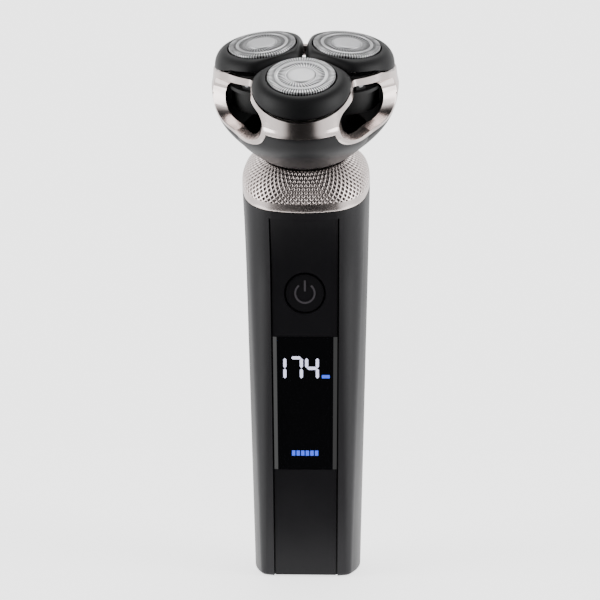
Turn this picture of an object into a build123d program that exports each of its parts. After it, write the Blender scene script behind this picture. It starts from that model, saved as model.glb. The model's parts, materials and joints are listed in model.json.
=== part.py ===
from build123d import *
import os
from math import atan2, cos, degrees, pi, radians, sin, sqrt

# Three-head rotary shaver, in millimetres.
# The handle stands on its base at the origin, +Z up, with its front towards -Y.
# Near the top the handle bends forward, so the collar, the neck and the shaving head
# share one axis that leans towards -Y.

os.makedirs("parts", exist_ok=True)

# ---------------------------------------------------------------- driving dimensions

LEAN = 22.0  # angle between the head's axis and the handle's axis
BEND_START = 96.7  # height where the handle starts to bend
BEND_RADIUS = 86.0  # radius of the bend, along the middle of the handle
SPINE_END = BEND_START + BEND_RADIUS * radians(LEAN)  # length of the handle along its middle

BASE_HALF = 17.5  # half-width of the handle at its base
TOP_HALF = 20.8  # half-width of the handle under the collar
BASE_FULLNESS = 1.15  # corner reach over half-width: 1 is a circle, 1.41 a square
TOP_FULLNESS = 1.10
WALL = 1.8  # wall of the handle shell
BASE_ROUND = 1.2  # rounding of the base edge

STRIP_BASE_HALF = 10.4  # half-width of the flat front strip, grooves included
STRIP_TOP_HALF = 11.4
GROOVE = 0.5  # width of the groove on each side of the strip
STRIP_STEP = 0.45  # how far the strip lies below the shell at the grooves
STRIP_END = SPINE_END - 3.4  # the strip fades out here, just under the collar
STRIP_BACK = 4.4  # depth of the strip's back, from the crest of the shell
SEAT_BACK = 6.0  # depth of the back of the wall behind the strip

DISPLAY_LOW = 36.0
DISPLAY_HIGH = 80.0
LENS_THICK = 1.2
LENS_BEVEL = 1.25  # width of the sloped long edges of the lens
BUTTON_HEIGHT = 94.3
BUTTON_RADIUS = 6.6
BUTTON_TRAVEL = 0.4
BOARD_FRONT = -11.9  # front face of the circuit board

BAND_TALL = 3.0  # smooth band of the collar
COLLAR_TALL = 11.6  # whole collar, along the head's axis
COLLAR_TOP_RADIUS = 14.2
NECK_RADIUS = 11.6
NECK_TOP = 17.2
NECK_BORE = 8.5

LOBE_ANGLES = (-90.0, 30.0, 150.0)  # one lobe at the front, two at the back
WINDOW_ANGLES = (-30.0, 90.0, 210.0)
FOIL_OFFSET = 15.75  # foil centre from the head's axis
FOIL_LEVEL = 46.5  # foil centre above the collar's lower edge
POD_TILT = 6.2  # each pod leans outwards
HEAD_WALL = 1.8
BOWL_LOW = 12.2
BOWL_BORE = 12.3
FLOOR_LOW = 18.0
FLOOR_THICK = 1.5
TRIM_HIGH = 43.6  # upper end of the bright frame, between the lobes
TRIM_LOW = 31.8  # lower edge of the bright band, at the front of a lobe

# stations of a lobe: level, centre offset, radius
LOBE_STATIONS = (
    (12.2, 0.0, 13.6),
    (16.0, 1.5, 18.0),
    (20.0, 4.0, 20.7),
    (24.0, 7.2, 21.5),
    (28.0, 11.0, 19.9),
    (31.5, 14.4, 17.7),
    (34.0, 15.5, 16.5),
)
LOBE_TOP = (47.0, 15.3, 15.2)  # where the lobe would end if the seam did not cut it

# lower corners of the bright frame round a window, in the window's plane
RIM_SIDE = ((17.0, 60.0), (17.0, 31.0), (14.5, 27.3), (9.0, 25.3))
RIM_CORNERS = RIM_SIDE + ((0.0, 24.4),) + tuple((-x, y) for x, y in reversed(RIM_SIDE))
OPENING_HALF = 11.3  # open part of a window
OPENING_LOW = 27.4
OPENING_SIDE = 35.4
OPENING_TOP = 38.6

SEAM_TILT = 19.0  # the seam between band and pod rises towards the head's axis
SEAM_REACH = 31.3  # outermost point of the seam, from the axis
SEAM_LEVEL = 37.4
SEAM_GAP = 1.0  # room for the pod to rock
POD_GAP = 1.0  # slit between neighbouring pods

FOIL_RADIUS = 10.75
FOIL_STEP_RADIUS = 8.2
CAP_RADIUS = 4.5
FOIL_TRAVEL = 0.8
POD_FOOT = 16.4  # radius of the dome at its foot
POD_MOUTH = 11.2
POD_CORE = 13.0
POD_BORE = 12.0
HINGE_DROP = 10.0  # pod hinge below the foil, along the pod's axis
PIN_RADIUS = 0.8
RUNNING_GAP = 0.05

CENTRE_TEETH = 18
SATELLITE_TEETH = 24
SATELLITE_OFFSET = 15.0
GEAR_LOW = 29.0
GEAR_THICK = 3.0
HOUSING_LOW = 26.5
DECK_LOW = 33.8
DECK_THICK = 1.2

COUPLER_RADIUS = 2.7
MOTOR_RADIUS = 10.0
MOTOR_TOP = -6.0
MOTOR_LONG = 28.0

BATTERY_RADIUS = 9.0
BATTERY_LONG = 50.0
BATTERY_LOW = 15.0
BATTERY_BACK = 3.4  # battery axis behind the handle's middle

MODULE = 2 * SATELLITE_OFFSET / (CENTRE_TEETH + SATELLITE_TEETH)


# ---------------------------------------------------------------- frames and outlines


def spine_plane(distance):
    """Plane square to the handle's middle line, at a distance along it from the base."""
    if distance <= BEND_START:
        return Plane(origin=(0, 0, distance), x_dir=(1, 0, 0), z_dir=(0, 0, 1))
    turn = (distance - BEND_START) / BEND_RADIUS
    origin = (0, -BEND_RADIUS * (1 - cos(turn)), BEND_START + BEND_RADIUS * sin(turn))
    return Plane(origin=origin, x_dir=(1, 0, 0), z_dir=(0, -sin(turn), cos(turn)))


HEAD = spine_plane(SPINE_END)
HEAD_AXIS = Axis(HEAD.origin, HEAD.z_dir)
HEAD_SECTION = Plane(origin=HEAD.origin, x_dir=HEAD.x_dir, z_dir=-HEAD.y_dir)


def head_point(angle, reach, level):
    """Point of the head's frame given by its angle, its distance from the axis and its level."""
    return HEAD.from_local_coords((reach * cos(radians(angle)), reach * sin(radians(angle)), level))


def head_direction(angle, rise=0.0):
    """Unit vector that points away from the head's axis, raised by some degrees."""
    flat = cos(radians(rise))
    tip = (flat * cos(radians(angle)), flat * sin(radians(angle)), sin(radians(rise)))
    return HEAD.from_local_coords(tip) - HEAD.origin


def pod_plane(angle):
    """Plane of a foil: X runs outwards, Z along the pod's axis."""
    outward = head_direction(angle, -POD_TILT)
    upward = head_direction(angle, 90 - POD_TILT)
    return Plane(origin=head_point(angle, FOIL_OFFSET, FOIL_LEVEL), x_dir=outward, z_dir=upward)


def seam_plane(angle, lift=0.0):
    """Plane between the bright band and the pod of one lobe."""
    outward = head_direction(angle, -SEAM_TILT)
    upward = head_direction(angle, 90 - SEAM_TILT)
    return Plane(origin=head_point(angle, SEAM_REACH, SEAM_LEVEL), x_dir=outward, z_dir=upward).offset(lift)


def window_plane(angle):
    """Plane through the head's axis that faces one window: X sideways, Y along the axis."""
    sideways = head_direction(angle + 90)
    return Plane(origin=HEAD.origin, x_dir=sideways, z_dir=head_direction(angle))


def along_handle(distance, base_value, top_value):
    """Value that changes evenly from the base of the handle to its top."""
    return base_value + (top_value - base_value) * distance / SPINE_END


def handle_half(distance):
    return along_handle(distance, BASE_HALF, TOP_HALF)


def strip_half(distance):
    return along_handle(distance, STRIP_BASE_HALF, STRIP_TOP_HALF)


def squircle(plane, half, fullness):
    """Closed outline of four wide side arcs (radius twice the half-width) and four corner arcs.

    The corner arcs touch the side arcs, and reach fullness x half on the diagonals.
    """
    side = 2 * half
    reach = fullness * half
    gap = side - reach
    centre = (gap**2 - (side - half) ** 2) / (2 * ((side - half) - sqrt(2) * gap))
    corner = reach - sqrt(2) * centre
    touch = degrees(atan2(centre, centre + side - half))
    with BuildSketch(plane) as outline:
        with BuildLine():
            for turn in (0, 90, 180, 270):
                side_centre = Vector(half - side, 0).rotate(Axis.Z, turn)
                corner_centre = Vector(centre, centre).rotate(Axis.Z, turn)
                CenterArc(side_centre, side, turn - touch, 2 * touch)
                CenterArc(corner_centre, corner, turn + touch, 90 - 2 * touch)
        make_face()
    return outline.sketch


def handle_section(distance, inset=0.0):
    """Cross-section of the handle, pulled in by inset."""
    fullness = along_handle(distance, BASE_FULLNESS, TOP_FULLNESS)
    return squircle(spine_plane(distance), handle_half(distance) - inset, fullness)


BEND_STEPS = [BEND_START + (SPINE_END - BEND_START) * step / 3 for step in range(4)]


def handle_body(inset=0.0):
    """Solid of the whole handle, straight and then bent, pulled in by inset."""
    with BuildPart() as body:
        for distance in (0, BEND_START):
            add(handle_section(distance, inset))
        loft(ruled=True)
        for distance in BEND_STEPS:
            add(handle_section(distance, inset))
        loft()
    return body.part


def strip_fade(distance):
    """0 where the strip is flat and sunk, 1 at its top end where it meets the shell's curve."""
    start = BEND_START + 4
    return min(max((distance - start) / (STRIP_END - start), 0), 1)


def strip_front(distance):
    """Local y of the strip's edges, and how far its middle stands proud of them."""
    half = handle_half(distance)
    curve = strip_half(distance) ** 2 / (4 * half)
    fade = strip_fade(distance)
    return -(half - curve - STRIP_STEP * (1 - fade)), 0.04 + curve * fade


def strip_section(distance, narrow, back):
    """Outline of the strip: flat sides and back, front edge slightly crowned."""
    half = strip_half(distance) - narrow
    edge, crown = strip_front(distance)
    rear = back - handle_half(distance)
    with BuildSketch(spine_plane(distance)) as outline:
        with BuildLine():
            Polyline((half, edge), (half, rear), (-half, rear), (-half, edge))
            ThreePointArc((-half, edge), (0, edge - crown), (half, edge))
        make_face()
    return outline.sketch


def slab_section(distance, half, front, back):
    """Rectangle across the front of the handle, between two depths from the shell's crest."""
    crest = handle_half(distance)
    with BuildSketch(spine_plane(distance)) as outline:
        with Locations((0, (front + back) / 2 - crest)):
            Rectangle(2 * half, back - front)
    return outline.sketch


STRIP_STEPS = [BEND_START + (STRIP_END - BEND_START) * step / 4 for step in range(5)]


def lobe_section(angle, level, offset, radius):
    """Circle of one lobe, square to the head's axis."""
    with BuildSketch(HEAD.offset(level)) as outline:
        with Locations((offset * cos(radians(angle)), offset * sin(radians(angle)))):
            Circle(radius)
    return outline.sketch


def lobe_body(angle, inset, low):
    """Solid of one lobe, from the neck up to the seam under its pod."""
    top_level, top_offset, top_radius = LOBE_TOP
    with BuildPart() as body:
        for level, offset, radius in LOBE_STATIONS:
            add(lobe_section(angle, max(level, low), offset, radius - inset))
        loft()
        level, offset, radius = LOBE_STATIONS[-1]
        add(lobe_section(angle, level, offset, radius - inset))
        add(lobe_section(angle, top_level, top_offset, top_radius - inset))
        loft()
        split(bisect_by=seam_plane(angle), keep=Keep.BOTTOM)
    return body.part


def gear_outline(plane, teeth):
    """Spur gear outline with straight-flanked teeth, a little thinner than half the pitch."""
    pitch_radius = MODULE * teeth / 2
    root = pitch_radius - 1.15 * MODULE
    tip = pitch_radius + 0.85 * MODULE
    step = 2 * pi / teeth
    points = []
    for tooth in range(teeth):
        for radius, share in ((root, -0.36), (tip, -0.11), (tip, 0.11), (root, 0.36)):
            turn = (tooth + share) * step
            points.append((radius * cos(turn), radius * sin(turn)))
    with BuildSketch(plane) as outline:
        Polygon(*points, align=None)
    return outline.sketch


# ---------------------------------------------------------------- handle casing

handle_outer = handle_body()
handle_inner = handle_body(inset=WALL)

with BuildPart() as front_wall:
    for distance in (0, BEND_START):
        add(slab_section(distance, 14.0, -2.0, SEAT_BACK))
    loft(ruled=True)
    for distance in BEND_STEPS:
        add(slab_section(distance, 14.0, -2.0, SEAT_BACK))
    loft()

with BuildPart() as strip_pocket:
    for distance in (0, BEND_START):
        add(slab_section(distance, strip_half(distance), -3.0, STRIP_BACK))
    loft(ruled=True)
    for distance in STRIP_STEPS:
        add(slab_section(distance, strip_half(distance), -3.0, STRIP_BACK))
    loft()

with BuildPart() as handle_cavity:
    add(handle_inner)
    add(front_wall.part, mode=Mode.SUBTRACT)

MODULE_LOW = DISPLAY_LOW + 3
MODULE_HIGH = DISPLAY_HIGH - 3
MODULE_HALF = 8.5
display_middle = (0, 0, (MODULE_LOW + MODULE_HIGH) / 2)

with BuildPart() as handle_shell:
    add(handle_outer)
    fillet(handle_shell.faces().sort_by(Axis.Z)[0].edges(), radius=BASE_ROUND)
    add(handle_cavity.part, mode=Mode.SUBTRACT)
    add(strip_pocket.part, mode=Mode.SUBTRACT)
    with Locations(display_middle):
        Box(
            2 * MODULE_HALF + 0.6, 60, MODULE_HIGH - MODULE_LOW + 0.6,
            align=(Align.CENTER, Align.MAX, Align.CENTER),
            mode=Mode.SUBTRACT)
    with BuildSketch(Plane.XZ):
        with Locations((0, BUTTON_HEIGHT)):
            Circle(2.6)
    extrude(amount=40, mode=Mode.SUBTRACT)
handle_shell.part.label = "handle_shell"
export_step(handle_shell.part, "parts/handle_shell.step")

with BuildPart() as front_panel:
    for distance in (0.4, BEND_START):
        add(strip_section(distance, GROOVE, STRIP_BACK))
    loft(ruled=True)
    for distance in STRIP_STEPS:
        add(strip_section(distance, GROOVE, STRIP_BACK))
    loft()
    for distance in (DISPLAY_LOW - 0.1, DISPLAY_HIGH + 0.1):
        depth = handle_half(distance) + strip_front(distance)[0] + LENS_THICK
        add(slab_section(distance, 13.0, -2.0, depth))
    loft(ruled=True, mode=Mode.SUBTRACT)
    with Locations(display_middle):
        Box(
            2 * MODULE_HALF + 0.6, 60, MODULE_HIGH - MODULE_LOW + 0.6,
            align=(Align.CENTER, Align.MAX, Align.CENTER),
            mode=Mode.SUBTRACT)
    button_front = strip_front(BUTTON_HEIGHT)[0]
    with BuildSketch(Plane.XZ):
        with Locations((0, BUTTON_HEIGHT)):
            Circle(BUTTON_RADIUS + 0.3)
    extrude(amount=40, mode=Mode.SUBTRACT)
front_panel.part.label = "front_panel"
export_step(front_panel.part, "parts/front_panel.step")

with BuildPart() as button_ring:
    ring_plane = Plane(origin=(0, button_front, BUTTON_HEIGHT), x_dir=(1, 0, 0), z_dir=(0, -1, 0))
    with BuildSketch(ring_plane.offset(-2.0)):
        Circle(BUTTON_RADIUS + 0.3)
        Circle(BUTTON_RADIUS + 0.05, mode=Mode.SUBTRACT)
    extrude(amount=1.4)
button_ring.part.label = "button_ring"
export_step(button_ring.part, "parts/button_ring.step")

with BuildPart() as power_button:
    with BuildSketch(ring_plane.offset(-1.7)):
        Circle(BUTTON_RADIUS - 0.25)
    extrude(amount=1.15)
    fillet(power_button.edges().sort_by(Axis.Y)[0], radius=0.4)
    with BuildSketch(ring_plane.offset(-1.7)):
        Circle(2.0)
    stem_end = BOARD_FRONT - 1.6 - BUTTON_TRAVEL - 0.2
    extrude(amount=button_front + 1.7 - stem_end)
    with BuildSketch(ring_plane.offset(-0.6)):
        Circle(3.4)
        Circle(2.7, mode=Mode.SUBTRACT)
        with Locations((0, 3.2)):
            Rectangle(2.6, 2.4, mode=Mode.SUBTRACT)
        with Locations((0, 2.3)):
            Rectangle(0.8, 3.4)
    extrude(amount=0.2)
power_button.part.label = "power_button"
export_step(power_button.part, "parts/power_button.step")

with BuildPart() as display_lens:
    for distance in (DISPLAY_LOW, DISPLAY_HIGH):
        half = strip_half(distance) - GROOVE
        front = strip_front(distance)[0]
        with BuildSketch(spine_plane(distance)):
            with BuildLine():
                Polyline(
                    (-half, front + LENS_THICK),
                    (-half, front + 0.3),
                    (-half + LENS_BEVEL, front - 0.1),
                    (half - LENS_BEVEL, front - 0.1),
                    (half, front + 0.3),
                    (half, front + LENS_THICK),
                    close=True,
                )
            make_face()
    loft(ruled=True)
display_lens.part.label = "display_lens"
export_step(display_lens.part, "parts/display_lens.step")

with BuildPart() as display_module:
    with Locations((0, BOARD_FRONT, (MODULE_LOW + MODULE_HIGH) / 2)):
        Box(2 * MODULE_HALF, 1.6, MODULE_HIGH - MODULE_LOW, align=(Align.CENTER, Align.MAX, Align.CENTER))
display_module.part.label = "display_module"
export_step(display_module.part, "parts/display_module.step")

DIGIT_WIDE = 4.2
DIGIT_TALL = 7.4
SEGMENT = 0.8
DIGIT_MIDDLE = 69.9
module_front = BOARD_FRONT - 1.6

with BuildPart() as display_digits:
    with BuildSketch(Plane(origin=(0, module_front, DIGIT_MIDDLE), x_dir=(1, 0, 0), z_dir=(0, -1, 0))):
        with Locations(*[(x, 0) for x in (-5.6, 0, 5.6)]):
            Rectangle(DIGIT_WIDE, DIGIT_TALL)
            with Locations((0, DIGIT_TALL / 4), (0, -DIGIT_TALL / 4)):
                Rectangle(DIGIT_WIDE - 2 * SEGMENT, DIGIT_TALL / 2 - 1.5 * SEGMENT, mode=Mode.SUBTRACT)
        with Locations((0, 40 - DIGIT_MIDDLE)):
            Rectangle(9, 1.4)
    extrude(amount=0.5)
display_digits.part.label = "display_digits"
export_step(display_digits.part, "parts/display_digits.step")

# ---------------------------------------------------------------- base and charging inlet

CAP_THICK = 3.0

with BuildPart() as base_cap:
    extrude(squircle(Plane.XY, BASE_HALF - WALL - 0.1, BASE_FULLNESS), amount=CAP_THICK)
    with BuildSketch(Plane.XY):
        with Locations((0, -BASE_HALF)):
            Rectangle(28.2, 2 * SEAT_BACK + 0.2)
    extrude(amount=CAP_THICK, mode=Mode.SUBTRACT)
    with BuildSketch(Plane.XY):
        with Locations((0, 4)):
            SlotOverall(9.4, 3.7)
    extrude(amount=CAP_THICK, mode=Mode.SUBTRACT)
    with Locations(Plane.XY.rotated((180, 0, 0))):
        with Locations((-11.5, -4), (11.5, -4)):
            CounterSinkHole(radius=1.1, counter_sink_radius=2.1, depth=CAP_THICK)
base_cap.part.label = "base_cap"
export_step(base_cap.part, "parts/base_cap.step")

with BuildPart() as base_seal:
    seal_plane = Plane.XY.offset(CAP_THICK)
    extrude(squircle(seal_plane, BASE_HALF - WALL - 0.2, BASE_FULLNESS), amount=0.8)
    extrude(squircle(seal_plane, BASE_HALF - WALL - 1.4, BASE_FULLNESS), amount=0.8, mode=Mode.SUBTRACT)
    with Locations((0, 2 * SEAT_BACK - BASE_HALF + 0.2 - 6, CAP_THICK)):
        Box(29, 30, 4, align=(Align.CENTER, Align.MAX, Align.CENTER), mode=Mode.SUBTRACT)
base_seal.part.label = "base_seal"
export_step(base_seal.part, "parts/base_seal.step")

with BuildPart() as base_screws:
    for side in (-11.5, 11.5):
        with BuildSketch(Plane.XZ.offset(-4)):
            with BuildLine():
                Polyline(
                    (side, 0.4), (side + 1.7, 0.4), (side + 1.0, 1.2), (side + 1.0, 7.0), (side, 7.0), close=True
                )
            make_face()
        revolve(axis=Axis((side, 4, 0), (0, 0, 1)))
base_screws.part.label = "base_screws"
export_step(base_screws.part, "parts/base_screws.step")

with BuildPart() as charging_socket:
    with BuildSketch(Plane.XY.offset(0.4)):
        with Locations((0, 4)):
            SlotOverall(9.2, 3.5)
            SlotOverall(8.4, 2.7, mode=Mode.SUBTRACT)
    extrude(amount=6.6)
    with BuildSketch(Plane.XY.offset(1.2)):
        with Locations((0, 4)):
            Rectangle(6.4, 0.7)
    extrude(amount=5.8)
    with BuildSketch(Plane.XY.offset(6.2)):
        with Locations((0, 4)):
            SlotOverall(9.2, 3.5)
    extrude(amount=0.8)
charging_socket.part.label = "charging_socket"
export_step(charging_socket.part, "parts/charging_socket.step")

with BuildPart() as charge_board:
    with Locations((0, 4, 7.0)):
        Box(16, 12, 1.0, align=(Align.CENTER, Align.CENTER, Align.MIN))
charge_board.part.label = "charge_board"
export_step(charge_board.part, "parts/charge_board.step")

# ---------------------------------------------------------------- inside the handle

with BuildPart() as main_board:
    with Locations((0, BOARD_FRONT, 30)):
        Box(17, 1.2, 73, align=(Align.CENTER, Align.MIN, Align.MIN))
main_board.part.label = "main_board"
export_step(main_board.part, "parts/main_board.step")

with BuildPart() as tact_switch:
    with Locations((0, BOARD_FRONT, BUTTON_HEIGHT)):
        Box(4.5, 1.1, 4.5, align=(Align.CENTER, Align.MAX, Align.CENTER))
    with BuildSketch(Plane(origin=(0, BOARD_FRONT - 1.1, BUTTON_HEIGHT), x_dir=(1, 0, 0), z_dir=(0, -1, 0))):
        Circle(1.2)
    extrude(amount=0.5)
tact_switch.part.label = "tact_switch"
export_step(tact_switch.part, "parts/tact_switch.step")

board_back = BOARD_FRONT + 1.2
battery_front = BATTERY_BACK - BATTERY_RADIUS

with BuildPart() as inner_chassis:
    with Locations((0, board_back + 0.6, 10)):
        Box(20, 2.2, 82, align=(Align.CENTER, Align.MIN, Align.MIN))
    with Locations((-11.0, board_back + 0.6, 10), (11.0, board_back + 0.6, 10)):
        Box(2, 15, 72, align=(Align.CENTER, Align.MIN, Align.MIN))
    with Locations((0, board_back + 0.6, 10)):
        Box(24, 16, 2.5, align=(Align.CENTER, Align.MIN, Align.MIN))
    with BuildSketch(Plane.XY.offset(CAP_THICK + 0.1)):
        with Locations((-11.5, 4), (11.5, 4)):
            Circle(2.0)
            Circle(1.0, mode=Mode.SUBTRACT)
    extrude(amount=10 - CAP_THICK)
inner_chassis.part.label = "inner_chassis"
export_step(inner_chassis.part, "parts/inner_chassis.step")

with BuildPart() as battery_cell:
    with BuildSketch(Plane.XY.offset(BATTERY_LOW)):
        with Locations((0, BATTERY_BACK)):
            Circle(BATTERY_RADIUS)
    extrude(amount=BATTERY_LONG)
    fillet(battery_cell.edges().filter_by(GeomType.CIRCLE), radius=0.8)
    with BuildSketch(Plane.XY.offset(BATTERY_LOW + BATTERY_LONG)):
        with Locations((0, BATTERY_BACK)):
            Circle(3.0)
    extrude(amount=1.0)
battery_cell.part.label = "battery_cell"
export_step(battery_cell.part, "parts/battery_cell.step")

with BuildPart() as battery_tabs:
    with Locations((0, BATTERY_BACK, BATTERY_LOW - 0.3), (0, BATTERY_BACK, BATTERY_LOW + BATTERY_LONG + 1.0)):
        Box(5, 14, 0.3, align=(Align.CENTER, Align.CENTER, Align.MIN))
battery_tabs.part.label = "battery_tabs"
export_step(battery_tabs.part, "parts/battery_tabs.step")

with BuildPart() as motor_can:
    with BuildSketch(HEAD_SECTION):
        with BuildLine():
            Polyline(
                (1.6, MOTOR_TOP),
                (MOTOR_RADIUS, MOTOR_TOP),
                (MOTOR_RADIUS, MOTOR_TOP - MOTOR_LONG + 3),
                (MOTOR_RADIUS - 1, MOTOR_TOP - MOTOR_LONG + 3),
                (MOTOR_RADIUS - 1, MOTOR_TOP - 1),
                (1.6, MOTOR_TOP - 1),
                close=True,
            )
        make_face()
    revolve(axis=HEAD_AXIS)
    with BuildSketch(HEAD.offset(MOTOR_TOP - 1)):
        with PolarLocations(6.0, 2):
            Circle(0.8)
    extrude(amount=1.0, mode=Mode.SUBTRACT)
motor_can.part.label = "motor_can"
export_step(motor_can.part, "parts/motor_can.step")

with BuildPart() as motor_end_cap:
    with BuildSketch(HEAD.offset(MOTOR_TOP - MOTOR_LONG)):
        Circle(MOTOR_RADIUS - 1)
        Circle(1.6, mode=Mode.SUBTRACT)
    extrude(amount=4.0)
motor_end_cap.part.label = "motor_end_cap"
export_step(motor_end_cap.part, "parts/motor_end_cap.step")

with BuildPart() as motor_mount:
    with BuildSketch(HEAD.offset(MOTOR_TOP)):
        Circle(14.3)
        Circle(3.2, mode=Mode.SUBTRACT)
        with PolarLocations(6.0, 2):
            Circle(0.85, mode=Mode.SUBTRACT)
    extrude(amount=1.8)
motor_mount.part.label = "motor_mount"
export_step(motor_mount.part, "parts/motor_mount.step")

with BuildPart() as mount_screws:
    with BuildSketch(HEAD.offset(MOTOR_TOP - 1.0)):
        with PolarLocations(6.0, 2):
            Circle(0.8)
    extrude(amount=2.8)
    with BuildSketch(HEAD.offset(MOTOR_TOP + 1.8)):
        with PolarLocations(6.0, 2):
            Circle(1.5)
    extrude(amount=0.8)
mount_screws.part.label = "mount_screws"
export_step(mount_screws.part, "parts/mount_screws.step")

with BuildPart() as motor_shaft:
    with BuildSketch(HEAD.offset(MOTOR_TOP - MOTOR_LONG + 0.5)):
        Circle(1.0)
    extrude(amount=MOTOR_LONG - 0.5 - MOTOR_TOP + 8.0)
    with BuildSketch(HEAD.offset(MOTOR_TOP - 22)):
        Circle(MOTOR_RADIUS - 2.2)
        Circle(1.0, mode=Mode.SUBTRACT)
    extrude(amount=19.0)
motor_shaft.part.label = "motor_shaft"
export_step(motor_shaft.part, "parts/motor_shaft.step")

with BuildPart() as drive_coupler:
    with BuildSketch(HEAD.offset(6.0)):
        RegularPolygon(COUPLER_RADIUS, 6)
        Circle(1.0, mode=Mode.SUBTRACT)
    extrude(amount=2.0)
    with BuildSketch(HEAD.offset(8.0)):
        RegularPolygon(COUPLER_RADIUS, 6)
    extrude(amount=8.6)
drive_coupler.part.label = "drive_coupler"
export_step(drive_coupler.part, "parts/drive_coupler.step")

# ---------------------------------------------------------------- collar and neck

with BuildPart() as knurled_ring:
    for level, half in ((0, TOP_HALF), (BAND_TALL, TOP_HALF - 0.1)):
        add(squircle(HEAD.offset(level), half, TOP_FULLNESS))
    loft(ruled=True)
    for step in range(5):
        share = step / 4
        half = TOP_HALF - 0.1 - (TOP_HALF - 0.1 - COLLAR_TOP_RADIUS) * share**1.35 + 0.45 * sin(pi * share)
        level = BAND_TALL + (COLLAR_TALL - BAND_TALL) * share
        add(squircle(HEAD.offset(level), half, TOP_FULLNESS - 0.095 * share))
    loft()
    with BuildSketch(HEAD):
        Circle(NECK_RADIUS)
    extrude(amount=COLLAR_TALL, mode=Mode.SUBTRACT)
knurled_ring.part.label = "knurled_ring"
export_step(knurled_ring.part, "parts/knurled_ring.step")

with BuildPart() as neck_collar:
    with BuildSketch(HEAD_SECTION):
        with BuildLine():
            Polyline(
                (NECK_BORE, MOTOR_TOP + 1.8),
                (14.3, MOTOR_TOP + 1.8),
                (14.3, 0),
                (NECK_RADIUS, 0),
                (NECK_RADIUS, 14.2),
                (NECK_RADIUS - 0.7, 14.2),
                (NECK_RADIUS - 0.7, 15.4),
                (NECK_RADIUS, 15.4),
                (NECK_RADIUS, NECK_TOP - 0.6),
                (NECK_RADIUS - 0.6, NECK_TOP),
                (NECK_BORE + 1.6, NECK_TOP),
                (NECK_BORE + 1.6, 13.0),
                (NECK_BORE, 13.0),
                close=True,
            )
        make_face()
    revolve(axis=HEAD_AXIS)
neck_collar.part.label = "neck_collar"
export_step(neck_collar.part, "parts/neck_collar.step")

with BuildPart() as neck_seal:
    with BuildSketch(HEAD_SECTION):
        with Locations((NECK_RADIUS - 0.2, 14.8)):
            Circle(0.5)
    revolve(axis=HEAD_AXIS)
neck_seal.part.label = "neck_seal"
export_step(neck_seal.part, "parts/neck_seal.step")

with BuildPart() as latch_magnet:
    with BuildSketch(HEAD.offset(13.0)):
        Circle(NECK_BORE + 1.6)
        Circle(NECK_BORE - 1.4, mode=Mode.SUBTRACT)
    extrude(amount=3.6)
latch_magnet.part.label = "latch_magnet"
export_step(latch_magnet.part, "parts/latch_magnet.step")

# ---------------------------------------------------------------- head casing

lobes = [lobe_body(angle, 0.0, BOWL_LOW) for angle in LOBE_ANGLES]
hollows = [lobe_body(angle, HEAD_WALL, 14.0) for angle in LOBE_ANGLES]

with BuildPart() as trim_zone:
    with BuildSketch(HEAD.offset(TRIM_LOW)):
        Circle(45)
    extrude(amount=30)
    for angle in WINDOW_ANGLES:
        with BuildSketch(window_plane(angle)):
            with BuildLine():
                FilletPolyline(*RIM_CORNERS, radius=6.0)
                Line(RIM_CORNERS[-1], RIM_CORNERS[0])
            make_face()
        extrude(amount=45)

with BuildPart() as window_holes:
    for angle in WINDOW_ANGLES:
        with BuildSketch(window_plane(angle)) as opening:
            with BuildLine():
                Line((-OPENING_HALF, OPENING_SIDE), (-OPENING_HALF + 1.5, OPENING_LOW + 2.4))
                ThreePointArc(
                    (-OPENING_HALF + 1.5, OPENING_LOW + 2.4),
                    (0, OPENING_LOW),
                    (OPENING_HALF - 1.5, OPENING_LOW + 2.4)
                )
                Line((OPENING_HALF - 1.5, OPENING_LOW + 2.4), (OPENING_HALF, OPENING_SIDE))
                ThreePointArc((OPENING_HALF, OPENING_SIDE), (0, OPENING_TOP), (-OPENING_HALF, OPENING_SIDE))
            make_face()
            fillet(opening.vertices(), radius=1.6)
        extrude(amount=45)

with BuildPart() as head_wall:
    add(lobes)
    add(hollows, mode=Mode.SUBTRACT)

with BuildPart() as trim_frame:
    add(head_wall.part)
    add(trim_zone.part, mode=Mode.INTERSECT)
    add(window_holes.part, mode=Mode.SUBTRACT)
    with BuildSketch(HEAD.offset(TRIM_HIGH)):
        Circle(45)
    extrude(amount=10, mode=Mode.SUBTRACT)
    with BuildSketch(HEAD.offset(TRIM_LOW)):
        Circle(11.5)
    extrude(amount=20, mode=Mode.SUBTRACT)
trim_frame.part.label = "trim_frame"
export_step(trim_frame.part, "parts/trim_frame.step")

with BuildPart() as bowl_shell:
    add(head_wall.part)
    add(trim_zone.part, mode=Mode.SUBTRACT)
    with BuildSketch(HEAD.offset(FLOOR_LOW)):
        Circle(20.5)
        Circle(4.8, mode=Mode.SUBTRACT)
    extrude(amount=FLOOR_THICK)
    with BuildSketch(HEAD.offset(BOWL_LOW)):
        Circle(13.5)
        Circle(BOWL_BORE, mode=Mode.SUBTRACT)
    extrude(amount=FLOOR_LOW - BOWL_LOW)
    with BuildSketch(HEAD.offset(BOWL_LOW)):
        Circle(BOWL_BORE)
    extrude(amount=FLOOR_LOW - BOWL_LOW, mode=Mode.SUBTRACT)
bowl_shell.part.label = "bowl_shell"
export_step(bowl_shell.part, "parts/bowl_shell.step")

# ---------------------------------------------------------------- gear train

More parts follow.
